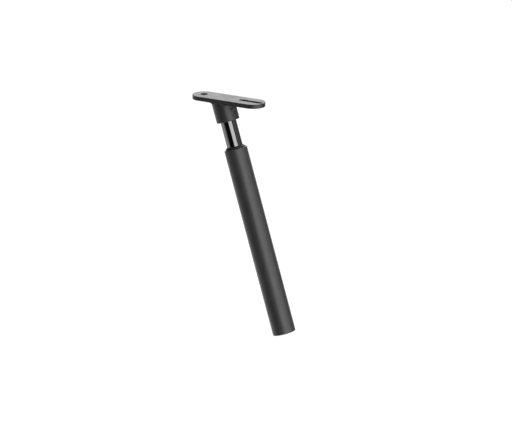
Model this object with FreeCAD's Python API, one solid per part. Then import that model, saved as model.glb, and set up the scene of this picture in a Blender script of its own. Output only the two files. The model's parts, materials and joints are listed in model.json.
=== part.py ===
import FreeCAD, Part
import math
import os

from FreeCAD import Placement, Rotation, Vector

# Telescoping suspension seatpost with a flat saddle plate.
# Millimetres. +Z runs up the post, +X points forward along the saddle plate, and the
# origin is the centre of the outer tube's lower end.

# ---- driving dimensions -------------------------------------------------------------

# outer tube: the diameter that the bicycle frame clamps
TUBE_RADIUS = 27.2 / 2
TUBE_LENGTH = 223.7
TUBE_BORE_RADIUS = 11.1
TUBE_TOP_CHAMFER = 0.3
TUBE_FOOT_CHAMFER = 0.4
TUBE_MOUTH_CHAMFER = 0.4
THREAD_RADIUS = 11.6
THREAD_DEPTH = 14.7
KEYWAY_RADIUS = 12.0
KEYWAY_WIDTH = 3.0
KEY_COUNT = 3

# inner shaft and the collar on its top
SHAFT_RADIUS = 9.2
SHAFT_BORE_RADIUS = 6.5
SHAFT_BOTTOM = 127.5
SHAFT_TOP = 277.0
SHAFT_CHAMFER = 0.5
COLLAR_RADIUS = 27.2 / 2
COLLAR_BOTTOM = 256.9
COLLAR_CHAMFER = 0.5
COLLAR_MOUTH_CHAMFER = 0.4
COLLAR_WALL_LIFT = 12.0

# saddle plate: tilted so that it lies level when the post leans back with the frame
PLATE_TILT = 17.5
PLATE_AXIS_HEIGHT = 285.6
PLATE_LENGTH = 96.0
PLATE_WIDTH = 28.0
PLATE_THICKNESS = 5.0
PLATE_OFFSET = 9.4
PLATE_EDGE_CHAMFER = 0.2
HOLE_RADIUS = 4.2
HOLE_CENTRE = -25.0
SLOT_LENGTH = 31.4
SLOT_WIDTH = 5.8
SLOT_CENTRE = 40.0
WELD_RADIUS = 15.3
WELD_DEPTH = 1.9
WELD_HALF_SPAN = 13.2

# grub screw that locks the collar on the shaft
GRUB_RADIUS = 1.25
GRUB_HEIGHT = 270.1
GRUB_ANGLE = -23.0
GRUB_RECESS = 0.3
GRUB_BITE = 0.4
GRUB_HEX_FLATS = 1.3
GRUB_HEX_DEPTH = 1.5

# gland cap, its seals and the upper bushing
CAP_SKIRT_BOTTOM = 211.0
CAP_SKIRT_TOP = 222.9
CAP_NECK_RADIUS = 11.3
CAP_GAP = 0.8
CAP_FLANGE_RADIUS = 11.8
CAP_FLANGE_EDGE = 0.2
CAP_CONE_TOP_RADIUS = 10.1
CAP_CONE_HEIGHT = 1.9
CAP_MOUTH_RADIUS = 9.6
CAP_POCKET_RADIUS = 10.3
CAP_POCKET_TOP = 225.7
O_RING_SECTION = 0.4
WIPER_BOTTOM = 218.0
WIPER_TOP = 226.8
WIPER_RELIEF_RADIUS = 9.5
WIPER_LIP_HEIGHT = 1.2
RUNNING_CLEARANCE = 0.05
BUSHING_BOTTOM = 172.0
BUSHING_FLANGE = 2.0

# piston at the foot of the shaft
PISTON_BOTTOM = 131.0
PISTON_TOP = 168.0
PISTON_RADIUS = 10.8
WEAR_RING_BOTTOM = 140.0
WEAR_RING_HEIGHT = 13.0
WEAR_RING_INNER_RADIUS = 10.0
KEY_BOTTOM = 156.0
KEY_LENGTH = 9.0
KEY_INNER_RADIUS = 9.7
KEY_OUTER_RADIUS = 11.7
KEY_SIDE_CLEARANCE = 0.1
BUMPER_HEIGHT = 3.8
RING_THICKNESS = 1.0
RING_GAP = 5.0
SHAFT_RING_BOTTOM = 129.6
SHAFT_RING_INNER_RADIUS = 8.4
SHAFT_RING_OUTER_RADIUS = 10.4
TOP_CUP_FLANGE = 3.0
TOP_CUP_RADIUS = 10.0
TOP_CUP_PLUG = 10.0

# spring, elastomer core and preload adjuster
SPRING_BOTTOM = 24.5
SPRING_WIRE_RADIUS = 1.6
SPRING_MEAN_RADIUS = 8.4
SPRING_TURNS = 13
SPRING_END_GRIND = 1.0
SPIGOT_RADIUS = 6.4
SPIGOT_HEIGHT = 6.0
ELASTOMER_RADIUS = 6.0
ELASTOMER_LENGTH = 50.5
ELASTOMER_CHAMFER = 1.0
SEAT_BOTTOM = 19.6
SEAT_RADIUS = 10.8
SEAT_BORE_RADIUS = 2.5
WASHER_INNER_RADIUS = 5.0
WASHER_OUTER_RADIUS = 10.5
FACE_GAP = 0.1
PLUG_BOTTOM = 4.6
PLUG_TOP = 18.5
PLUG_CHAMFER = 0.5
PLUG_HEX_FLATS = 8.0
PLUG_HEX_DEPTH = 8.0
PLUG_GROOVE_BOTTOM = 14.5
PLUG_GROOVE_HEIGHT = 2.0
PLUG_GROOVE_RADIUS = 9.55
PLUG_O_RING_SECTION = 0.75
TUBE_RING_BOTTOM = 3.0
TUBE_RING_INNER_RADIUS = 9.7
TUBE_RING_OUTER_RADIUS = 11.8
RING_GROOVE_SLACK = 0.1
RING_LUG_RADIUS = 1.5
RING_LUG_REACH = 9.2
RING_LUG_HOLE_RADIUS = 0.7

# ---- worked out from the above ------------------------------------------------------

ORIGIN = Vector(0, 0, 0)
UP = Vector(0, 0, 1)
PLATE_FRAME = Placement(Vector(0, 0, PLATE_AXIS_HEIGHT), Rotation(Vector(0, 1, 0), PLATE_TILT))
CAP_FLANGE_BOTTOM = TUBE_LENGTH + CAP_GAP
CAP_CONE_BOTTOM = CAP_FLANGE_BOTTOM + CAP_FLANGE_EDGE
CAP_TOP = CAP_CONE_BOTTOM + CAP_CONE_HEIGHT
BORE_TOP = TUBE_LENGTH - THREAD_DEPTH
SHAFT_RUNNING_RADIUS = SHAFT_RADIUS + RUNNING_CLEARANCE
BORE_RUNNING_RADIUS = TUBE_BORE_RADIUS - RUNNING_CLEARANCE
SPRING_TOP = SHAFT_BOTTOM - TOP_CUP_FLANGE
KEY_WIDTH = KEYWAY_WIDTH - 2 * KEY_SIDE_CLEARANCE


# ---- shape helpers ------------------------------------------------------------------

def turned(profile):
    """A solid turned about the post axis from a closed outline of (radius, height)."""
    points = [Vector(radius, 0, height) for radius, height in profile]
    return Part.Face(Part.makePolygon(points + points[:1])).revolve(ORIGIN, UP, 360)


def ring(inner, outer, bottom, top):
    """A plain ring about the post axis."""
    return turned([(inner, bottom), (outer, bottom), (outer, top), (inner, top)])


def rod(radius, bottom, top):
    """A plain cylinder on the post axis."""
    return Part.makeCylinder(radius, top - bottom, Vector(0, 0, bottom))


def o_ring(ring_radius, section_radius, height):
    """A round-section seal about the post axis."""
    return Part.makeTorus(ring_radius, section_radius, Vector(0, 0, height))


def around_axis(shape, count=KEY_COUNT):
    """Copies of a shape, evenly spaced about the post axis."""
    copies = []
    for index in range(count):
        copy = shape.copy()
        copy.rotate(ORIGIN, UP, 360 * index / count)
        copies.append(copy)
    return copies


def radial_block(inner, outer, width, bottom, top):
    """A block that points along +X from the post axis."""
    return Part.makeBox(outer - inner, width, top - bottom, Vector(inner, -width / 2, bottom))


def hexagon(flats, bottom, top):
    """A hexagonal prism on the post axis."""
    corner = flats / 2 / math.cos(math.pi / 6)
    angles = [math.pi / 3 * index for index in range(7)]
    points = [Vector(corner * math.cos(a), corner * math.sin(a), bottom) for a in angles]
    return Part.Face(Part.makePolygon(points)).extrude(UP * (top - bottom))


def stadium(length, width, centre, bottom, top):
    """A prism with two straight sides along X and two round ends."""
    half = width / 2
    reach = length / 2 - half
    front = Vector(centre + reach, 0, bottom)
    rear = Vector(centre - reach, 0, bottom)
    side = Vector(0, half, 0)
    end = Vector(half, 0, 0)
    outline = [
        Part.LineSegment(rear - side, front - side),
        Part.Arc(front - side, front + end, front + side),
        Part.LineSegment(front + side, rear + side),
        Part.Arc(rear + side, rear - end, rear - side),
    ]
    wire = Part.Wire([edge.toShape() for edge in outline])
    return Part.Face(wire).extrude(UP * (top - bottom))


def below_plate(shape):
    """The part of a shape that lies under the tilted plate."""
    size = 2 * PLATE_LENGTH
    above = Part.makeBox(size, size, size, Vector(-size / 2, -size / 2, -PLATE_THICKNESS))
    above.Placement = PLATE_FRAME
    return shape.cut(above)


def snap_ring(inner, outer, bottom):
    """A flat retaining ring with its gap at the front."""
    top = bottom + RING_THICKNESS
    gap = radial_block(0, 2 * outer, RING_GAP, bottom, top)
    return ring(inner, outer, bottom, top).cut(gap)


# ---- pieces fixed to the frame side -------------------------------------------------

def outer_tube():
    body = turned([
        (TUBE_BORE_RADIUS + TUBE_MOUTH_CHAMFER, 0),
        (TUBE_RADIUS - TUBE_FOOT_CHAMFER, 0),
        (TUBE_RADIUS, TUBE_FOOT_CHAMFER),
        (TUBE_RADIUS, TUBE_LENGTH - TUBE_TOP_CHAMFER),
        (TUBE_RADIUS - TUBE_TOP_CHAMFER, TUBE_LENGTH),
        (THREAD_RADIUS, TUBE_LENGTH),
        (THREAD_RADIUS, BORE_TOP),
        (TUBE_BORE_RADIUS, BORE_TOP),
        (TUBE_BORE_RADIUS, TUBE_MOUTH_CHAMFER),
    ])
    keyway = radial_block(SHAFT_RADIUS, KEYWAY_RADIUS, KEYWAY_WIDTH, 0, BORE_TOP)
    groove = ring(
        SHAFT_RADIUS,
        TUBE_RING_OUTER_RADIUS + RING_GROOVE_SLACK,
        TUBE_RING_BOTTOM,
        TUBE_RING_BOTTOM + RING_THICKNESS + RING_GROOVE_SLACK,
    )
    return body.cut(around_axis(keyway) + [groove])


def gland_cap():
    return turned([
        (CAP_POCKET_RADIUS, CAP_SKIRT_BOTTOM),
        (THREAD_RADIUS, CAP_SKIRT_BOTTOM),
        (THREAD_RADIUS, CAP_SKIRT_TOP),
        (CAP_NECK_RADIUS, CAP_SKIRT_TOP),
        (CAP_NECK_RADIUS, CAP_FLANGE_BOTTOM),
        (CAP_FLANGE_RADIUS, CAP_FLANGE_BOTTOM),
        (CAP_FLANGE_RADIUS, CAP_CONE_BOTTOM),
        (CAP_CONE_TOP_RADIUS, CAP_TOP),
        (CAP_MOUTH_RADIUS, CAP_TOP),
        (CAP_MOUTH_RADIUS, CAP_POCKET_TOP),
        (CAP_POCKET_RADIUS, CAP_POCKET_TOP),
    ])


def gland_cap_o_ring():
    return o_ring(CAP_NECK_RADIUS + O_RING_SECTION, O_RING_SECTION, TUBE_LENGTH + O_RING_SECTION)


def wiper_seal():
    lip_bottom = WIPER_TOP - WIPER_LIP_HEIGHT
    foot_lip_top = WIPER_BOTTOM + WIPER_LIP_HEIGHT
    return turned([
        (SHAFT_RUNNING_RADIUS, WIPER_BOTTOM),
        (CAP_POCKET_RADIUS, WIPER_BOTTOM),
        (CAP_POCKET_RADIUS, CAP_POCKET_TOP),
        (CAP_MOUTH_RADIUS, CAP_POCKET_TOP),
        (CAP_MOUTH_RADIUS, CAP_TOP),
        (SHAFT_RUNNING_RADIUS, WIPER_TOP),
        (SHAFT_RUNNING_RADIUS, lip_bottom),
        (WIPER_RELIEF_RADIUS, lip_bottom - WIPER_LIP_HEIGHT),
        (WIPER_RELIEF_RADIUS, foot_lip_top + WIPER_LIP_HEIGHT),
        (SHAFT_RUNNING_RADIUS, foot_lip_top),
    ])


def upper_bushing():
    flange_bottom = BORE_TOP
    flange_top = flange_bottom + BUSHING_FLANGE
    return turned([
        (SHAFT_RUNNING_RADIUS, BUSHING_BOTTOM),
        (TUBE_BORE_RADIUS, BUSHING_BOTTOM),
        (TUBE_BORE_RADIUS, flange_bottom),
        (THREAD_RADIUS, flange_bottom),
        (THREAD_RADIUS, flange_top),
        (CAP_POCKET_RADIUS, flange_top),
        (CAP_POCKET_RADIUS, WIPER_BOTTOM),
        (SHAFT_RUNNING_RADIUS, WIPER_BOTTOM),
    ])


def tube_retaining_ring():
    """Internal snap ring that keeps the preload plug in the tube, with its two plier lugs."""
    body = snap_ring(TUBE_RING_INNER_RADIUS, TUBE_RING_OUTER_RADIUS, TUBE_RING_BOTTOM)
    for side in (-1, 1):
        across = side * (RING_GAP / 2 + RING_LUG_RADIUS)
        centre = Vector(RING_LUG_REACH, across, TUBE_RING_BOTTOM)
        lug = Part.makeCylinder(RING_LUG_RADIUS, RING_THICKNESS, centre)
        hole = Part.makeCylinder(RING_LUG_HOLE_RADIUS, RING_THICKNESS, centre)
        body = body.fuse(lug).cut(hole)
    return body.removeSplitter()


# ---- pieces that slide with the saddle ----------------------------------------------

def grub_screw_bore(inner, outer, radius):
    """A radial cylinder where the grub screw sits, between two radii from the post axis."""
    angle = math.radians(GRUB_ANGLE)
    direction = Vector(math.cos(angle), math.sin(angle), 0)
    start = direction * inner + Vector(0, 0, GRUB_HEIGHT)
    return Part.makeCylinder(radius, outer - inner, start, direction)


def inner_shaft():
    body = turned([
        (SHAFT_BORE_RADIUS, SHAFT_BOTTOM),
        (SHAFT_RADIUS - SHAFT_CHAMFER, SHAFT_BOTTOM),
        (SHAFT_RADIUS, SHAFT_BOTTOM + SHAFT_CHAMFER),
        (SHAFT_RADIUS, SHAFT_TOP - SHAFT_CHAMFER),
        (SHAFT_RADIUS - SHAFT_CHAMFER, SHAFT_TOP),
        (SHAFT_BORE_RADIUS, SHAFT_TOP),
    ])
    ring_top = SHAFT_RING_BOTTOM + RING_THICKNESS
    groove = ring(SHAFT_RING_INNER_RADIUS, SHAFT_RING_OUTER_RADIUS, SHAFT_RING_BOTTOM, ring_top)
    return body.cut([groove, grub_screw_bore(SHAFT_RADIUS - GRUB_BITE, COLLAR_RADIUS, GRUB_RADIUS)])


def collar_body():
    """The collar as a solid, from its lower face up into the plate."""
    top = PLATE_AXIS_HEIGHT + COLLAR_WALL_LIFT
    return below_plate(turned([
        (0, COLLAR_BOTTOM),
        (COLLAR_RADIUS - COLLAR_CHAMFER, COLLAR_BOTTOM),
        (COLLAR_RADIUS, COLLAR_BOTTOM + COLLAR_CHAMFER),
        (COLLAR_RADIUS, top),
        (0, top),
    ]))


def head_collar():
    mouth = turned([
        (0, COLLAR_BOTTOM),
        (SHAFT_RADIUS + COLLAR_MOUTH_CHAMFER, COLLAR_BOTTOM),
        (SHAFT_RADIUS, COLLAR_BOTTOM + COLLAR_MOUTH_CHAMFER),
        (SHAFT_RADIUS, SHAFT_TOP),
        (0, SHAFT_TOP),
    ])
    bore = grub_screw_bore(SHAFT_RADIUS - GRUB_BITE, 2 * COLLAR_RADIUS, GRUB_RADIUS)
    return collar_body().cut([mouth, bore])


def collar_grub_screw():
    outer = COLLAR_RADIUS - GRUB_RECESS
    screw = grub_screw_bore(SHAFT_RADIUS - GRUB_BITE, outer, GRUB_RADIUS)
    socket = hexagon(GRUB_HEX_FLATS, outer - GRUB_HEX_DEPTH, outer)
    socket.rotate(ORIGIN, Vector(0, 1, 0), 90)
    socket.rotate(ORIGIN, UP, GRUB_ANGLE)
    socket.translate(Vector(0, 0, GRUB_HEIGHT))
    return screw.cut(socket)


def plate_blank():
    """The saddle plate without its holes, in its own level frame."""
    return stadium(PLATE_LENGTH, PLATE_WIDTH, PLATE_OFFSET, -PLATE_THICKNESS, 0)


def seat_plate():
    hole_foot = Vector(HOLE_CENTRE, 0, -PLATE_THICKNESS)
    hole = Part.makeCylinder(HOLE_RADIUS, PLATE_THICKNESS, hole_foot)
    slot = stadium(SLOT_LENGTH, SLOT_WIDTH, SLOT_CENTRE, -PLATE_THICKNESS, 0)
    body = plate_blank().cut([hole, slot])
    rims = [edge for edge in body.Edges if edge.BoundBox.ZLength < PLATE_EDGE_CHAMFER]
    body = body.makeChamfer(PLATE_EDGE_CHAMFER, rims)
    body.Placement = PLATE_FRAME
    return body


def plate_weld():
    """Two fillet welds under the plate, one in front of the collar and one behind it.

    At its sides the collar is as wide as the plate, so no weld fits there.
    """
    foot = -PLATE_THICKNESS - WELD_DEPTH
    collar_centre = (PLATE_THICKNESS + WELD_DEPTH / 2) * math.tan(math.radians(PLATE_TILT))
    base = Vector(collar_centre, 0, foot)
    cone = Part.makeCone(WELD_RADIUS - WELD_DEPTH, WELD_RADIUS, WELD_DEPTH, base)
    corner = Vector(-PLATE_WIDTH, -WELD_HALF_SPAN, foot)
    beads = cone.common(Part.makeBox(2 * PLATE_WIDTH, 2 * WELD_HALF_SPAN, WELD_DEPTH, corner))
    beads.Placement = PLATE_FRAME
    return beads.cut(collar_body())


def piston():
    body = ring(SHAFT_RADIUS, PISTON_RADIUS, PISTON_BOTTOM, PISTON_TOP)
    wear_ring_top = WEAR_RING_BOTTOM + WEAR_RING_HEIGHT
    groove = ring(WEAR_RING_INNER_RADIUS, TUBE_RADIUS, WEAR_RING_BOTTOM, wear_ring_top)
    pocket = key_block()
    return body.cut([groove] + around_axis(pocket))


def piston_wear_ring():
    wear_ring_top = WEAR_RING_BOTTOM + WEAR_RING_HEIGHT
    return ring(WEAR_RING_INNER_RADIUS, BORE_RUNNING_RADIUS, WEAR_RING_BOTTOM, wear_ring_top)


def key_block():
    return radial_block(
        KEY_INNER_RADIUS, KEY_OUTER_RADIUS, KEY_WIDTH, KEY_BOTTOM, KEY_BOTTOM + KEY_LENGTH
    )


def anti_rotation_keys():
    return Part.makeCompound(around_axis(key_block()))


def top_out_bumper():
    return ring(SHAFT_RADIUS, PISTON_RADIUS, PISTON_TOP, PISTON_TOP + BUMPER_HEIGHT)


def shaft_retaining_ring():
    return snap_ring(SHAFT_RING_INNER_RADIUS, SHAFT_RING_OUTER_RADIUS, SHAFT_RING_BOTTOM)


def spring_top_cup():
    """The cup that the spring pushes on, pressed into the shaft's lower end."""
    return turned([
        (0, SPRING_TOP - SPIGOT_HEIGHT),
        (SPIGOT_RADIUS, SPRING_TOP - SPIGOT_HEIGHT),
        (SPIGOT_RADIUS, SPRING_TOP),
        (TOP_CUP_RADIUS, SPRING_TOP),
        (TOP_CUP_RADIUS, SHAFT_BOTTOM),
        (SHAFT_BORE_RADIUS, SHAFT_BOTTOM),
        (SHAFT_BORE_RADIUS, SHAFT_BOTTOM + TOP_CUP_PLUG),
        (0, SHAFT_BOTTOM + TOP_CUP_PLUG),
    ])


# ---- spring and preload adjuster ----------------------------------------------------

def main_spring():
    """A right-hand compression spring with ground ends."""
    height = SPRING_TOP - SPRING_BOTTOM + 2 * SPRING_END_GRIND
    path = Part.makeHelix(height / SPRING_TURNS, height, SPRING_MEAN_RADIUS)
    section = Part.Circle(Vector(SPRING_MEAN_RADIUS, 0, 0), Vector(0, 1, 0), SPRING_WIRE_RADIUS)
    coil = Part.Wire(path).makePipeShell([Part.Wire(section.toShape())], True, True)
    coil.translate(Vector(0, 0, SPRING_BOTTOM - SPRING_END_GRIND))
    return coil.common(rod(TUBE_RADIUS, SPRING_BOTTOM, SPRING_TOP))


def spring_seat():
    """The seat under the spring, with lugs that ride in the tube's keyways."""
    disc = rod(SEAT_RADIUS, SEAT_BOTTOM, SPRING_BOTTOM)
    spigot = rod(SPIGOT_RADIUS, SPRING_BOTTOM, SPRING_BOTTOM + SPIGOT_HEIGHT)
    lug = radial_block(SPIGOT_RADIUS, KEY_OUTER_RADIUS, KEY_WIDTH, SEAT_BOTTOM, SPRING_BOTTOM)
    vent = rod(SEAT_BORE_RADIUS, SEAT_BOTTOM, SPRING_BOTTOM + SPIGOT_HEIGHT)
    return disc.fuse([spigot] + around_axis(lug)).removeSplitter().cut(vent)


def elastomer_core():
    bottom = SPRING_BOTTOM + SPIGOT_HEIGHT
    top = bottom + ELASTOMER_LENGTH
    return turned([
        (0, bottom),
        (ELASTOMER_RADIUS, bottom),
        (ELASTOMER_RADIUS, top - ELASTOMER_CHAMFER),
        (ELASTOMER_RADIUS - ELASTOMER_CHAMFER, top),
        (0, top),
    ])


def thrust_washer():
    return ring(WASHER_INNER_RADIUS, WASHER_OUTER_RADIUS, PLUG_TOP + FACE_GAP, SEAT_BOTTOM)


def preload_plug():
    """The threaded plug that sets the preload, turned with a hex key from below."""
    groove_top = PLUG_GROOVE_BOTTOM + PLUG_GROOVE_HEIGHT
    body = turned([
        (0, PLUG_BOTTOM),
        (BORE_RUNNING_RADIUS - PLUG_CHAMFER, PLUG_BOTTOM),
        (BORE_RUNNING_RADIUS, PLUG_BOTTOM + PLUG_CHAMFER),
        (BORE_RUNNING_RADIUS, PLUG_GROOVE_BOTTOM),
        (PLUG_GROOVE_RADIUS, PLUG_GROOVE_BOTTOM),
        (PLUG_GROOVE_RADIUS, groove_top),
        (BORE_RUNNING_RADIUS, groove_top),
        (BORE_RUNNING_RADIUS, PLUG_TOP),
        (0, PLUG_TOP),
    ])
    return body.cut(hexagon(PLUG_HEX_FLATS, PLUG_BOTTOM, PLUG_BOTTOM + PLUG_HEX_DEPTH))


def plug_o_ring():
    height = PLUG_GROOVE_BOTTOM + PLUG_GROOVE_HEIGHT / 2
    return o_ring(PLUG_GROOVE_RADIUS + PLUG_O_RING_SECTION, PLUG_O_RING_SECTION, height)


# ---- write one file for each piece --------------------------------------------------

PIECES = [
    outer_tube,
    gland_cap,
    gland_cap_o_ring,
    wiper_seal,
    upper_bushing,
    tube_retaining_ring,
    inner_shaft,
    head_collar,
    collar_grub_screw,
    seat_plate,
    plate_weld,
    piston,
    piston_wear_ring,
    anti_rotation_keys,
    top_out_bumper,
    shaft_retaining_ring,
    spring_top_cup,
    main_spring,
    spring_seat,
    elastomer_core,
    thrust_washer,
    preload_plug,
    plug_o_ring,
]


def main():
    os.makedirs("parts", exist_ok=True)
    for piece in PIECES:
        shape = piece()
        assert shape.isValid(), f"{piece.__name__} isn't a valid shape"
        shape.exportStep(f"parts/{piece.__name__}.step")
        solids = len(shape.Solids)
        print(f"{piece.__name__}: {solids} solid(s), {shape.Volume:.0f} mm3")


main()
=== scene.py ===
import json
import math

import bmesh
import bpy
from mathutils import Matrix, Vector


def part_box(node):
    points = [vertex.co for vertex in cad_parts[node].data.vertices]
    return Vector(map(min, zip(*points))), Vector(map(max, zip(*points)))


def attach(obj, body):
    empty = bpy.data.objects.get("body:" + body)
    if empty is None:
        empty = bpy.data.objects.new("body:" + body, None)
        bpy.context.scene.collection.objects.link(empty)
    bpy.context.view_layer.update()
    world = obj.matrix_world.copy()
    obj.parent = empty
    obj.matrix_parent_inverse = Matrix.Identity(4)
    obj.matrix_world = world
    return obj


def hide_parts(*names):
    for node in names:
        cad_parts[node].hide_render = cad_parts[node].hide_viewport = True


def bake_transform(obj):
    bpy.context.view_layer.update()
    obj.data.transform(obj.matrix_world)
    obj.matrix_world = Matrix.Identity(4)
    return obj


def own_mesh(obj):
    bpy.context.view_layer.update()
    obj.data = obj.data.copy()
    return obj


# Looks for a sprung bicycle seatpost with a flat saddle plate.
# Metres. +Z runs up the post and +X points forward along the saddle plate.

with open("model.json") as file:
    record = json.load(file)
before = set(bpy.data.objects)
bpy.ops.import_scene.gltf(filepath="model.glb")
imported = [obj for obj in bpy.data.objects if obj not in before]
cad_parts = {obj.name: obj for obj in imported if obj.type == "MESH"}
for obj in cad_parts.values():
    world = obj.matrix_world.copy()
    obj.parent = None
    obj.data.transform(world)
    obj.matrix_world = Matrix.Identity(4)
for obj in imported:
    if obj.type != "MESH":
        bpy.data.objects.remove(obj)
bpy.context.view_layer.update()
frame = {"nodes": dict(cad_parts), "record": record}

MM = 0.001
UP = Vector((0, 0, 1))
DOWN = -UP
WHITE = (1, 1, 1, 1)

# ---- places read from the frame -------------------------------------------------------

MOUNTS = {mount["name"]: mount for mount in frame["record"]["mounts"]}
PLATE_TOP = Vector(MOUNTS["plate_top"]["pos_m"])
PLATE_NORMAL = Vector(MOUNTS["plate_top"]["axis"]).normalized()
PLATE_TILT = math.atan2(PLATE_NORMAL.x, PLATE_NORMAL.z)
PLATE_FORWARD = Vector((PLATE_NORMAL.z, 0, -PLATE_NORMAL.x))


def along_plate(mount_name):
    """How far forward of the post's axis a mount sits, along the saddle plate."""
    return (Vector(MOUNTS[mount_name]["pos_m"]) - PLATE_TOP).dot(PLATE_FORWARD)


HOLE_AT = along_plate("rear_bolt_hole")
HOLE_WIDTH = 2 * MOUNTS["rear_bolt_hole"]["dims"]["r_mm"] * MM
SLOT_AT = along_plate("front_slot")

TUBE_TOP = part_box("outer_tube")[1].z
COLLAR_LOW, COLLAR_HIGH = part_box("head_collar")
COLLAR_FOOT = COLLAR_LOW.z
COLLAR_RADIUS = COLLAR_HIGH.x
SPRING_LOW, SPRING_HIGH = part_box("main_spring")

# ---- plate and tube -------------------------------------------------------------------

PLATE_LENGTH = 96 * MM
PLATE_WIDTH = 28 * MM
PLATE_THICKNESS = 5 * MM
# How far the plate's middle is forward of the post's axis.
PLATE_OFFSET = 9.4 * MM
SLOT_LENGTH = 31.4 * MM
SLOT_WIDTH = 5.8 * MM
TUBE_CHAMFER = 0.3 * MM

# ---- weld beads -----------------------------------------------------------------------

WELD_LEG_OUT = 1.7 * MM
WELD_LEG_DOWN = 2.0 * MM
WELD_HALF_ANGLE = math.radians(77)
# What stays free between a bead and the plate's long edge.
WELD_EDGE_GAP = 0.1 * MM
# How far a bead reaches into the plate and the collar.
WELD_ROOT = 0.25 * MM
WELD_CORNER_STEPS = 10
# A bead's size at its very ends, as a share of its size between them.
WELD_END_SIZE = 0.15
RIPPLE_LENGTH = 0.85 * MM
RIPPLE_STEPS = 8
RIPPLE_DEPTH = 0.1
# Slow changes in a bead's size: how much of its size, and at what rate along it.
WELD_DRIFTS = ((0.03, 17.0), (0.02, 41.0))

# ---- main spring ----------------------------------------------------------------------

WIRE_RADIUS = 1.6 * MM
WIRE_CORNERS = 16
SPRING_TURNS = 13
STEPS_PER_TURN = 48
# The share of the spring's height, from its foot, that takes up the preload.
PRELOAD_SPAN = 0.34

# ---- camera ---------------------------------------------------------------------------

# The view is set out from the level saddle plate: how far round, how far above, how far off.
VIEW_ROUND = math.radians(33.54)
VIEW_ABOVE = math.radians(16.88)
VIEW_ROLL = math.radians(-0.2)
VIEW_DISTANCE = 2.5889
# How far the camera's line of sight passes to the right of the plate's top, and below it.
AIM_RIGHT = 39.4 * MM
AIM_DOWN = 134.2 * MM
# The lens and the sensor are in millimetres, as Blender takes them.
LENS = 157.5
SENSOR = 36.0
CLIP_NEAR = 0.1
CLIP_FAR = 20

# ---- studio ---------------------------------------------------------------------------

# Soft boxes of light. In degrees: how far round from the camera towards its right, half the
# width, how high above the horizon, half the height and the soft edge. Then the radiance.
STUDIO = {
    "front strip": (20, 24, 0, 24, 3, 2.35),
    "low key": (44, 38, -23, 13, 6, 3.6),
    "high key": (52, 30, 23, 12, 6, 3.0),
    "right card": (103, 42, 7, 12, 7, 0.39),
    "left wall": (-117, 37, -33, 32, 20, 1.5),
    "back wall": (163, 25, 45, 22, 10, 4.4),
    "low back wall": (187, 42, -11, 34, 13, 1.2),
    "high side": (158, 34, 55, 13, 5, 2.6),
    "room": (0, 200, 0, 100, 5, 0.015),
}
BACKDROP_GLOW = 1.02
FLOOR_GLOW = 0.95
FLOOR_COLOUR = (0.2, 0.2, 0.2, 1)
FLOOR_SIZE = 6.0

# ---- patterns that finishes share -----------------------------------------------------

# A noise lies about this middle, and mostly within this reach of it.
NOISE_MIDDLE = 0.5
NOISE_REACH = 0.2
# A tool's rings lie this many times closer on a flat face than along a wall.
FACE_RINGS_CLOSER = 1.7
# How far a satin coat's tone and roughness drift either way.
TONE_SWING = 0.2
GLOSS_SWING = 0.03
# Where a colour Mix node has its factor, its two colours and its result.
MIX_FACTOR = 0
MIX_UNDER = 6
MIX_OVER = 7
MIX_COLOUR = 2


# ---- making the camera ----------------------------------------------------------------

def view_axes():
    """The camera's right, up and backward directions in the frame."""
    round_right = Vector((math.cos(VIEW_ROUND), math.sin(VIEW_ROUND), 0))
    outward = Vector((math.sin(VIEW_ROUND), -math.cos(VIEW_ROUND), 0))
    back = outward * math.cos(VIEW_ABOVE) + UP * math.sin(VIEW_ABOVE)
    level_up = back.cross(round_right)
    right = round_right * math.cos(VIEW_ROLL) + level_up * math.sin(VIEW_ROLL)
    up = level_up * math.cos(VIEW_ROLL) - round_right * math.sin(VIEW_ROLL)
    plate_to_frame = Matrix.Rotation(PLATE_TILT, 3, "Y")
    return plate_to_frame @ right, plate_to_frame @ up, plate_to_frame @ back


def add_camera():
    """Adds a long lens at the photograph's viewing angle, and returns its bearing."""
    right, up, back = view_axes()
    data = bpy.data.cameras.new("camera")
    data.sensor_width = SENSOR
    data.lens = LENS
    data.clip_start = CLIP_NEAR
    data.clip_end = CLIP_FAR
    camera = bpy.data.objects.new("camera", data)
    bpy.context.scene.collection.objects.link(camera)
    place = PLATE_TOP + right * AIM_RIGHT - up * AIM_DOWN + back * VIEW_DISTANCE
    axes = Matrix((right, up, back)).transposed()
    camera.matrix_world = Matrix.Translation(place) @ axes.to_4x4()
    bpy.context.scene.camera = camera
    return math.atan2(back.y, back.x)


# ---- node trees -----------------------------------------------------------------------

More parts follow.
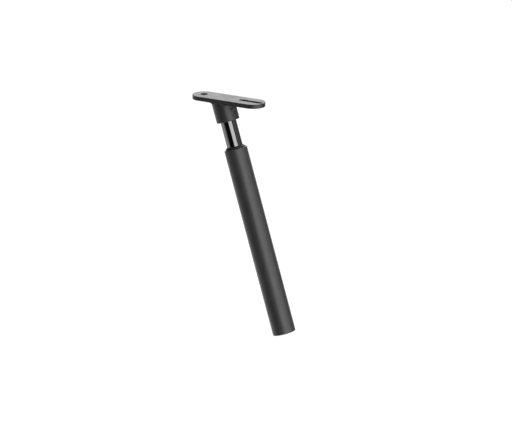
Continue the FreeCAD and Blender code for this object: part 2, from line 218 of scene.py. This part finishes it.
class Tree:
    """Short calls for the nodes that the light and the finishes share."""

    def __init__(self, tree):
        self.tree = tree

    def add(self, kind, **settings):
        """A new node of that kind, with those settings."""
        node = self.tree.nodes.new(kind)
        for name, value in settings.items():
            setattr(node, name, value)
        return node

    def put(self, socket, value):
        """Links a socket to another node's output, or sets it to a plain value."""
        if isinstance(value, bpy.types.NodeSocket):
            self.tree.links.new(value, socket)
        else:
            socket.default_value = value

    def fill(self, node, *values):
        """Puts values in a node's inputs, in their order, and returns its first output."""
        for socket, value in zip(node.inputs, values):
            self.put(socket, value)
        return node.outputs[0]

    def calc(self, operation, *values):
        """Arithmetic on plain numbers and number sockets."""
        return self.fill(self.add("ShaderNodeMath", operation=operation), *values)

    def vector(self, operation, *values):
        """Arithmetic on vectors."""
        return self.fill(self.add("ShaderNodeVectorMath", operation=operation), *values)

    def split(self, vector):
        """A vector's three parts."""
        node = self.add("ShaderNodeSeparateXYZ")
        self.put(node.inputs[0], vector)
        return node.outputs

    def join(self, x, y, z):
        """A vector from its three parts."""
        return self.fill(self.add("ShaderNodeCombineXYZ"), x, y, z)

    def fade(self, value, start, end, low=0.0, high=1.0):
        """A smooth change from low at start to high at end."""
        node = self.add("ShaderNodeMapRange", interpolation_type="SMOOTHSTEP")
        return self.fill(node, value, start, end, low, high)

    def add_up(self, first, *others):
        """The sum of them all."""
        total = first
        for value in others:
            total = self.calc("ADD", total, value)
        return total

    def hypotenuse(self, x, y):
        """How far a point is from the origin of a flat pair of axes."""
        squares = self.calc("ADD", self.calc("MULTIPLY", x, x), self.calc("MULTIPLY", y, y))
        return self.calc("SQRT", squares)


# ---- studio light ---------------------------------------------------------------------

class SoftBox:
    """A soft-edged patch of light in the world round the object."""

    def __init__(self, round_at, half_width, height, half_height, edge, radiance):
        self.round_at = math.radians(round_at)
        self.half_width = math.radians(half_width)
        self.height = math.radians(height)
        self.half_height = math.radians(half_height)
        self.edge = math.radians(edge)
        self.radiance = radiance

    def light(self, tree, round_angle, height_angle):
        """The light that comes from each direction."""
        away = tree.calc("SUBTRACT", round_angle, self.round_at)
        away = tree.calc("ABSOLUTE", tree.calc("WRAP", away, math.pi, -math.pi))
        above = tree.calc("ABSOLUTE", tree.calc("SUBTRACT", height_angle, self.height))
        across = tree.fade(away, self.half_width + self.edge, self.half_width - self.edge)
        along = tree.fade(above, self.half_height + self.edge, self.half_height - self.edge)
        return tree.calc("MULTIPLY", tree.calc("MULTIPLY", across, along), self.radiance)


def add_studio(camera_round):
    """Soft boxes round the object, and a plain white backdrop for the camera."""
    world = bpy.data.worlds.new("studio")
    bpy.context.scene.world = world
    world.use_nodes = True
    world.node_tree.nodes.clear()
    tree = Tree(world.node_tree)
    x, y, z = tree.split(tree.add("ShaderNodeTexCoord").outputs["Generated"])
    round_angle = tree.calc("SUBTRACT", tree.calc("ARCTAN2", y, x), camera_round)
    height_angle = tree.calc("ARCSINE", z)
    lit = tree.add("ShaderNodeBackground")
    boxes = [SoftBox(*numbers) for numbers in STUDIO.values()]
    lights = [box.light(tree, round_angle, height_angle) for box in boxes]
    tree.put(lit.inputs["Strength"], tree.add_up(*lights))
    backdrop = tree.add("ShaderNodeBackground")
    tree.put(backdrop.inputs["Color"], WHITE)
    tree.put(backdrop.inputs["Strength"], BACKDROP_GLOW)
    seen_by_camera = tree.add("ShaderNodeLightPath").outputs["Is Camera Ray"]
    choice = tree.add("ShaderNodeMixShader")
    tree.fill(choice, seen_by_camera, lit.outputs[0], backdrop.outputs[0])
    output = tree.add("ShaderNodeOutputWorld")
    tree.put(output.inputs["Surface"], choice.outputs[0])
    bpy.context.scene.view_settings.view_transform = "Standard"


def floor_finish():
    """A matt surface that is pale by its own glow, so that a shadow on it stays faint."""
    material = bpy.data.materials.new("pale_floor")
    material.use_nodes = True
    surface = material.node_tree.nodes["Principled BSDF"]
    surface.inputs["Base Color"].default_value = FLOOR_COLOUR
    surface.inputs["Roughness"].default_value = 1.0
    surface.inputs["Specular IOR Level"].default_value = 0.0
    surface.inputs["Emission Color"].default_value = WHITE
    surface.inputs["Emission Strength"].default_value = FLOOR_GLOW
    return material


def add_floor():
    """A plain pale floor under the post's foot, which takes a faint shadow."""
    mesh = bpy.data.meshes.new("floor")
    half = FLOOR_SIZE / 2
    corners = [(-half, -half, 0), (half, -half, 0), (half, half, 0), (-half, half, 0)]
    mesh.from_pydata(corners, [], [(0, 1, 2, 3)])
    mesh.materials.append(floor_finish())
    floor = bpy.data.objects.new("floor", mesh)
    bpy.context.scene.collection.objects.link(floor)
    # Only the camera sees the floor, so it lights nothing and isn't reflected.
    floor.visible_diffuse = False
    floor.visible_glossy = False
    floor.visible_transmission = False
    floor.visible_shadow = False


# ---- finishes -------------------------------------------------------------------------

def grey(level):
    """A colour with no tint."""
    return (level, level, level)


def tinted(colour, share):
    """A colour made lighter or darker."""
    return tuple(channel * share for channel in colour)


class Finish(Tree):
    """A procedural material, and the patterns that its colour, gloss and relief are made of."""

    def __init__(self, name):
        self.material = bpy.data.materials.new(name)
        self.material.use_nodes = True
        super().__init__(self.material.node_tree)
        self.surface = self.tree.nodes["Principled BSDF"]
        self.place = self.add("ShaderNodeTexCoord").outputs["Object"]
        self.relief = None

    def use(self, socket, value):
        """Puts a value or a pattern in one of the shader's sockets."""
        self.put(self.surface.inputs[socket], value)

    def noise(self, size, place=None, detail=2.0):
        """Soft random values with features of about that size."""
        node = self.add("ShaderNodeTexNoise")
        self.put(node.inputs["Vector"], place or self.place)
        node.inputs["Scale"].default_value = 1 / size
        node.inputs["Detail"].default_value = detail
        return node.outputs[0]

    def spread(self, noise, low, high, reach=NOISE_REACH):
        """Values from low to high, as a noise goes from one side of its middle to the other."""
        return self.fade(noise, NOISE_MIDDLE - reach, NOISE_MIDDLE + reach, low, high)

    def cells(self, size):
        """The distance from the middle of each cell, of cells of about that size."""
        node = self.add("ShaderNodeTexVoronoi")
        self.put(node.inputs["Vector"], self.place)
        node.inputs["Scale"].default_value = 1 / size
        return node.outputs["Distance"]

    def grain(self, size_x, size_y, size_z, place=None):
        """Noise that is drawn out: its features have those three sizes."""
        scale = (1 / size_x, 1 / size_y, 1 / size_z)
        return self.noise(1, self.vector("MULTIPLY", place or self.place, scale))

    def lathe(self, pitch, arc):
        """Rings left by turning, of that pitch along a wall, that change slowly over arc."""
        x, y, z = self.split(self.place)
        travel = self.calc("MULTIPLY_ADD", self.hypotenuse(x, y), FACE_RINGS_CLOSER, z)
        return self.grain(arc, arc, pitch, self.join(x, y, travel))

    def shades(self, factor, under, over):
        """One colour laid over another by a factor from 0 to 1; each is a colour or a socket."""
        node = self.add("ShaderNodeMix", data_type="RGBA")
        self.put(node.inputs[MIX_FACTOR], factor)
        for index, colour in ((MIX_UNDER, under), (MIX_OVER, over)):
            self.put(node.inputs[index], (*colour, 1) if isinstance(colour, tuple) else colour)
        return node.outputs[MIX_COLOUR]

    def raise_by(self, height, depth):
        """Adds relief: a height from 0 to 1, standing that many metres proud at 1."""
        node = self.add("ShaderNodeBump")
        self.put(node.inputs["Distance"], depth)
        self.put(node.inputs["Height"], height)
        if self.relief is not None:
            self.put(node.inputs["Normal"], self.relief)
        self.relief = node.outputs[0]
        self.use("Normal", self.relief)


class SatinCoat(Finish):
    """Satin black powder coat: fine orange peel, with a slow drift in tone and gloss."""

    def __init__(self, name, colour, roughness):
        super().__init__(name)
        drift = self.noise(size=14 * MM, detail=3)
        darker = tinted(colour, 1 - TONE_SWING)
        lighter = tinted(colour, 1 + TONE_SWING)
        self.tone = self.shades(drift, darker, lighter)
        self.gloss = roughness
        self.vary_gloss(drift)
        self.vary_gloss(self.noise(size=0.35 * MM), reach=0.15)
        self.raise_by(self.noise(size=0.9 * MM), depth=0.014 * MM)
        self.raise_by(self.noise(size=0.16 * MM), depth=0.004 * MM)

    def vary_gloss(self, noise, reach=NOISE_REACH):
        """Makes the coat a little smoother and rougher, as a noise goes."""
        swing = self.spread(noise, -GLOSS_SWING, GLOSS_SWING, reach)
        self.gloss = self.calc("ADD", self.gloss, swing)

    def lay_wear_and_highlight(self, mask, colour, rougher):
        """Lays a tone over the coat where the mask is near 1, in small broken patches: rubbed
        wear, and on the tube's top chamfer a painted highlight.
        """
        broken = self.fade(self.noise(size=1.1 * MM, detail=4), 0.42, 0.62)
        wear_and_highlight_patches = self.calc("MULTIPLY", mask, broken)
        self.tone = self.shades(wear_and_highlight_patches, self.tone, colour)
        self.gloss = self.calc("ADD", self.gloss, self.calc("MULTIPLY", wear_and_highlight_patches, rougher))

    def done(self):
        """Joins the coat's tone and gloss to its shader."""
        self.use("Base Color", self.tone)
        self.use("Roughness", self.gloss)
        return self.material


def tube_finish():
    """The outer tube: coated, with faint lines from sliding in the frame, rubbed at its ends, and
    a painted highlight along its top chamfer.
    """
    coat = SatinCoat("tube_satin_black", colour=(0.042, 0.042, 0.043), roughness=0.42)
    _, _, z = coat.split(coat.place)
    coat.vary_gloss(coat.grain(0.7 * MM, 0.7 * MM, 70 * MM))
    near_top = coat.fade(z, start=TUBE_TOP - 0.9 * MM, end=TUBE_TOP - 0.4 * MM)
    near_foot = coat.fade(z, start=1.5 * MM, end=0.6 * MM)
    coat.lay_wear_and_highlight(coat.calc("MAXIMUM", near_top, near_foot), colour=grey(0.058), rougher=-0.06)
    # The light band on the top chamfer is a painted highlight, not wear.
    chamfer_foot = TUBE_TOP - TUBE_CHAMFER
    above_wall = coat.fade(z, start=chamfer_foot - 0.06 * MM, end=chamfer_foot)
    below_face = coat.fade(z, start=TUBE_TOP - 0.02 * MM, end=TUBE_TOP - 0.05 * MM)
    coat.lay_wear_and_highlight(coat.calc("MULTIPLY", above_wall, below_face), colour=grey(0.25), rougher=-0.06)
    return coat.done()


def collar_finish():
    """The collar: the same coat over turned steel, so the tool's rings just show through."""
    coat = SatinCoat("collar_satin_black", colour=(0.033, 0.033, 0.034), roughness=0.42)
    _, _, z = coat.split(coat.place)
    coat.raise_by(coat.lathe(pitch=0.45 * MM, arc=30 * MM), depth=0.008 * MM)
    near_foot = coat.fade(z, start=COLLAR_FOOT + 1.1 * MM, end=COLLAR_FOOT + 0.5 * MM)
    coat.lay_wear_and_highlight(near_foot, colour=grey(0.048), rougher=-0.05)
    return coat.done()


def level_place(finish):
    """Places in the saddle plate's level axes, from where the post's axis meets its top."""
    node = finish.add("ShaderNodeVectorRotate", rotation_type="Y_AXIS")
    finish.put(node.inputs["Vector"], finish.vector("SUBTRACT", finish.place, tuple(PLATE_TOP)))
    finish.put(node.inputs["Angle"], -PLATE_TILT)
    return node.outputs[0]


def past_outline(finish, place, centre, length, width):
    """How far a point of the plate is outside a round-ended outline, and negative inside it."""
    x, y, _ = finish.split(place)
    along = finish.calc("ABSOLUTE", finish.calc("SUBTRACT", x, centre))
    past_straight = finish.calc("SUBTRACT", along, (length - width) / 2)
    past_straight = finish.calc("MAXIMUM", past_straight, 0.0)
    return finish.calc("SUBTRACT", finish.hypotenuse(past_straight, y), width / 2)


def plate_finish():
    """The saddle plate: coated rolled bar, a little polished on its rims and where washers sit,
    with painted shade inside its hole and slot.
    """
    coat = SatinCoat("plate_satin_black", colour=grey(0.027), roughness=0.44)
    place = level_place(coat)
    rolled = coat.grain(25 * MM, 0.5 * MM, 0.5 * MM, place)
    coat.vary_gloss(rolled)
    coat.raise_by(rolled, depth=0.004 * MM)
    past_rim = past_outline(coat, place, PLATE_OFFSET, PLATE_LENGTH, PLATE_WIDTH)
    past_hole = past_outline(coat, place, HOLE_AT, HOLE_WIDTH, HOLE_WIDTH)
    past_slot = past_outline(coat, place, SLOT_AT, SLOT_LENGTH, SLOT_WIDTH)
    past_bores = coat.calc("MINIMUM", past_hole, past_slot)
    near_rim = coat.fade(past_rim, start=-0.5 * MM, end=-0.2 * MM, high=0.5)
    coat.lay_wear_and_highlight(near_rim, colour=grey(0.04), rougher=-0.06)
    off_the_bores = coat.fade(past_bores, start=0.2 * MM, end=0.5 * MM)
    under_washer = coat.fade(past_bores, start=3.2 * MM, end=2.6 * MM, high=0.5)
    coat.lay_wear_and_highlight(coat.calc("MULTIPLY", off_the_bores, under_washer), colour=grey(0.03), rougher=-0.05)
    # The coat inside the hole and the slot is painted near black: painted shade in the bores.
    painted_bore_shade = coat.fade(past_bores, start=0.15 * MM, end=0.05 * MM)
    coat.tone = coat.shades(painted_bore_shade, coat.tone, grey(0.004))
    coat.gloss = coat.calc("MAXIMUM", coat.gloss, coat.calc("MULTIPLY", painted_bore_shade, 0.8))
    return coat.done()


def cap_finish():
    """The gland cap: black anodised aluminium with its turning marks."""
    finish = Finish("cap_black_anodised")
    rings = finish.lathe(pitch=0.22 * MM, arc=24 * MM)
    finish.use("Base Color", finish.shades(rings, (0.024, 0.024, 0.025), (0.04, 0.04, 0.042)))
    finish.use("Roughness", finish.spread(rings, low=0.34, high=0.46))
    finish.use("Specular IOR Level", 0.25)
    finish.raise_by(rings, depth=0.006 * MM)
    return finish.material


def shaft_finish():
    """The inner shaft: dark chrome, ground and polished, with faint lines from its bushing."""
    finish = Finish("shaft_black_chrome")
    ground = finish.lathe(pitch=0.12 * MM, arc=20 * MM)
    rubs = finish.grain(0.35 * MM, 0.35 * MM, 45 * MM)
    haze = finish.noise(size=6 * MM, detail=3)
    finish.use("Metallic", 1.0)
    finish.use("Base Color", finish.shades(haze, (0.24, 0.24, 0.245), (0.27, 0.27, 0.275)))
    finish.use("Roughness", finish.add_up(
        0.07,
        finish.spread(ground, low=0.0, high=0.02, reach=0.15),
        finish.fade(rubs, start=0.6, end=0.72, high=0.06),
    ))
    finish.use("Specular Tint", (*grey(0.3), 1))
    finish.raise_by(ground, depth=0.0006 * MM)
    return finish.material


def rubber_finish():
    """Seals and bumper: matt nitrile rubber with a fine moulded grain."""
    finish = Finish("rubber_black")
    grain = finish.noise(size=0.2 * MM, detail=3)
    bloom = finish.noise(size=4 * MM, detail=3)
    finish.use("Base Color", finish.shades(bloom, grey(0.011), (0.024, 0.024, 0.023)))
    finish.use("Roughness", finish.spread(grain, low=0.55, high=0.75))
    finish.use("Specular IOR Level", 0.4)
    finish.raise_by(grain, depth=0.012 * MM)
    return finish.material


def acetal_finish():
    """Bushing, wear ring and cups: natural acetal, turned, slightly see-through."""
    finish = Finish("acetal_white")
    rings = finish.lathe(pitch=0.3 * MM, arc=25 * MM)
    cloud = finish.noise(size=5 * MM)
    finish.use("Base Color", finish.shades(cloud, (0.7, 0.69, 0.64), (0.8, 0.79, 0.75)))
    finish.use("Roughness", finish.spread(rings, low=0.34, high=0.46))
    finish.use("Subsurface Weight", 0.2)
    finish.use("Subsurface Scale", 0.8 * MM)
    finish.raise_by(rings, depth=0.008 * MM)
    return finish.material


def elastomer_finish():
    """The elastomer core: yellow cellular polyurethane with open pores in its skin, painted darker
    inside the pores as shade.
    """
    finish = Finish("elastomer_yellow")
    pores = finish.fade(finish.cells(size=0.7 * MM), start=0.1, end=0.45)
    cloud = finish.noise(size=3 * MM, detail=3)
    skin = finish.shades(cloud, (0.68, 0.47, 0.09), (0.8, 0.6, 0.16))
    # The pits of the pores are painted darker than the skin: painted shade.
    finish.use("Base Color", finish.shades(pores, (0.42, 0.27, 0.05), skin))
    finish.use("Roughness", finish.spread(cloud, low=0.6, high=0.75))
    finish.use("Subsurface Weight", 0.15)
    finish.use("Subsurface Scale", 1.0 * MM)
    finish.raise_by(pores, depth=0.08 * MM)
    return finish.material


def bare_metal(name, dark, light, roughness, pitch, depth):
    """A turned or drawn metal with its tool marks and a light film of oil or oxide."""
    finish = Finish(name)
    rings = finish.lathe(pitch, arc=22 * MM)
    film = finish.noise(size=3.5 * MM, detail=4)
    finish.use("Metallic", 1.0)
    finish.use("Base Color", finish.shades(film, dark, light))
    finish.use("Roughness", finish.add_up(
        roughness,
        finish.spread(rings, low=-0.05, high=0.05),
        finish.fade(film, start=0.4, end=0.7, low=-0.03, high=0.06),
    ))
    finish.raise_by(rings, depth)
    return finish.material


def spring_finish():
    """The main spring's wire: drawn steel with a film of oil."""
    return bare_metal(
        "spring_steel_oiled", dark=(0.26, 0.26, 0.27), light=(0.44, 0.44, 0.45),
        roughness=0.26, pitch=0.12 * MM, depth=0.003 * MM,
    )


def oxide_finish():
    """Retaining rings and grub screw: steel with black oxide."""
    return bare_metal(
        "steel_black_oxide", dark=(0.03, 0.03, 0.034), light=(0.075, 0.075, 0.08),
        roughness=0.42, pitch=0.2 * MM, depth=0.004 * MM,
    )


def aluminium_finish():
    """Piston and preload plug: turned aluminium, bare."""
    return bare_metal(
        "aluminium_turned", dark=(0.62, 0.62, 0.63), light=(0.76, 0.76, 0.77),
        roughness=0.26, pitch=0.25 * MM, depth=0.01 * MM,
    )


def brass_finish():
    """Anti-rotation keys and thrust washer: bare brass."""
    return bare_metal(
        "brass_turned", dark=(0.62, 0.44, 0.18), light=(0.76, 0.58, 0.27),
        roughness=0.3, pitch=0.2 * MM, depth=0.006 * MM,
    )


FINISHES = {
    "satin_black_tube": tube_finish,
    "satin_black_collar": collar_finish,
    "satin_plate": plate_finish,
    "black_anodised_cap": cap_finish,
    "black_chrome": shaft_finish,
    "black_rubber": rubber_finish,
    "white_nylon": acetal_finish,
    "yellow_elastomer": elastomer_finish,
    "spring_steel": spring_finish,
    "blackened_spring_steel": oxide_finish,
    "plain_aluminium": aluminium_finish,
    "brass": brass_finish,
}


def finish_nodes():
    """Gives each CAD node the finish of its material slot, and returns the finishes."""
    finishes = {slot: make() for slot, make in FINISHES.items()}
    for node in frame["nodes"].values():
        for holder in node.material_slots:
            holder.material = finishes[holder.material.name]
    return finishes


# ---- pieces built here ----------------------------------------------------------------

def swept_mesh(name, sections, material):
    """A closed piece through a run of closed outlines, flat at both ends."""
    work = bmesh.new()
    rings = [[work.verts.new(point) for point in section] for section in sections]
    count = len(sections[0])
    for near, far in zip(rings, rings[1:]):
        for index in range(count):
            after = (index + 1) % count
            work.faces.new((near[index], near[after], far[after], far[index]))
    work.faces.new(rings[0][::-1])
    work.faces.new(rings[-1])
    bmesh.ops.recalc_face_normals(work, faces=work.faces)
    for face in work.faces:
        face.smooth = True
    mesh = bpy.data.meshes.new(name)
    work.to_mesh(mesh)
    work.free()
    mesh.materials.append(material)
    piece = bpy.data.objects.new(name, mesh)
    bpy.context.scene.collection.objects.link(piece)
    return piece


def weld_reach(angle, size):
    """How far a bead stands out from the collar, kept back from the plate's long edges."""
    across = abs(math.sin(angle))
    room = PLATE_WIDTH / 2 - WELD_EDGE_GAP
    if across * (COLLAR_RADIUS + WELD_LEG_OUT) < room:
        return WELD_LEG_OUT * size
    return min(WELD_LEG_OUT * size, room / across - COLLAR_RADIUS)


def weld_section(angle, size):
    """The bead's outline at one angle round the collar, rounded between plate and collar."""
    outward = Vector((math.cos(angle), math.sin(angle), 0))
    slope = math.tan(PLATE_TILT)
    underside = PLATE_TOP.z - PLATE_THICKNESS / math.cos(PLATE_TILT)
    root = outward * COLLAR_RADIUS + UP * (underside - COLLAR_RADIUS * outward.x * slope)
    along = outward - UP * (outward.x * slope)
    reach = weld_reach(angle, size)
    into_both = root - along * WELD_ROOT - DOWN * WELD_ROOT
    into_plate = root + along * reach - DOWN * WELD_ROOT
    points = [into_both, into_plate]
    for step in range(WELD_CORNER_STEPS + 1):
        turn = math.pi / 2 * step / WELD_CORNER_STEPS
        out = along * reach * math.cos(turn)
        points.append(root + out + DOWN * WELD_LEG_DOWN * size * math.sin(turn))
    points.append(root - along * WELD_ROOT + DOWN * WELD_LEG_DOWN * size)
    return points


def bead_size(share, arc_length):
    """A bead's size at a share of its length: its ripples, its slow drift and its tapered ends."""
    phase = share * arc_length / RIPPLE_LENGTH % 1.0
    hump = math.sqrt(max(0.0, 1 - (2 * phase - 1) ** 2))
    ripple = 1 - RIPPLE_DEPTH + RIPPLE_DEPTH * hump
    drift = 1
    for depth, rate in WELD_DRIFTS:
        drift += depth * math.sin(share * rate)
    to_end = min(share, 1 - share) * arc_length
    taper = min(1.0, math.sqrt(to_end / WELD_LEG_OUT) + WELD_END_SIZE)
    return ripple * drift * taper


def weld_bead(name, middle, material):
    """One fillet weld bead, centred on an angle round the collar."""
    arc_length = 2 * WELD_HALF_ANGLE * COLLAR_RADIUS
    steps = round(arc_length / (RIPPLE_LENGTH / RIPPLE_STEPS))
    sections = []
    for step in range(steps + 1):
        share = step / steps
        angle = middle + (2 * share - 1) * WELD_HALF_ANGLE
        sections.append(weld_section(angle, bead_size(share, arc_length)))
    bead = swept_mesh(name, sections, material)
    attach(bead, "stanchion")
    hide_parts("plate_weld")


def wire_outline(centre, outward):
    """The wire's round section at one place of the coil."""
    outline = []
    for corner in range(WIRE_CORNERS):
        angle = 2 * math.pi * corner / WIRE_CORNERS
        offset = outward * math.cos(angle) + UP * math.sin(angle)
        outline.append(centre + offset * WIRE_RADIUS)
    return outline


def coil(name, low_share, high_share, material):
    """The part of the main spring between two shares of its height, as one wire."""
    height = SPRING_HIGH.z - SPRING_LOW.z - 2 * WIRE_RADIUS
    mean_radius = SPRING_HIGH.x - WIRE_RADIUS
    steps = round(SPRING_TURNS * STEPS_PER_TURN * (high_share - low_share))
    sections = []
    for step in range(steps + 1):
        share = low_share + (high_share - low_share) * step / steps
        turn = 2 * math.pi * SPRING_TURNS * share
        outward = Vector((math.cos(turn), math.sin(turn), 0))
        centre = outward * mean_radius
        centre.z = SPRING_LOW.z + WIRE_RADIUS + height * share
        sections.append(wire_outline(centre, outward))
    piece = swept_mesh(name, sections, material)
    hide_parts("main_spring")
    return piece


def add_spring(material):
    """The main spring: its lower turns take up the preload and its upper turns the travel."""
    lower = coil("main_spring_lower_turns", 0.0, PRELOAD_SPAN, material)
    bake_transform(lower)
    upper = coil("main_spring_upper_turns", PRELOAD_SPAN, 1.0, material)
    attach(upper, "post")
    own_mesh(upper)


# ---- build ----------------------------------------------------------------------------

camera_round = add_camera()
add_studio(camera_round)
add_floor()
finishes = finish_nodes()
weld_bead("weld_bead_front", 0.0, finishes["satin_plate"])
weld_bead("weld_bead_rear", math.pi, finishes["satin_plate"])
add_spring(finishes["spring_steel"])
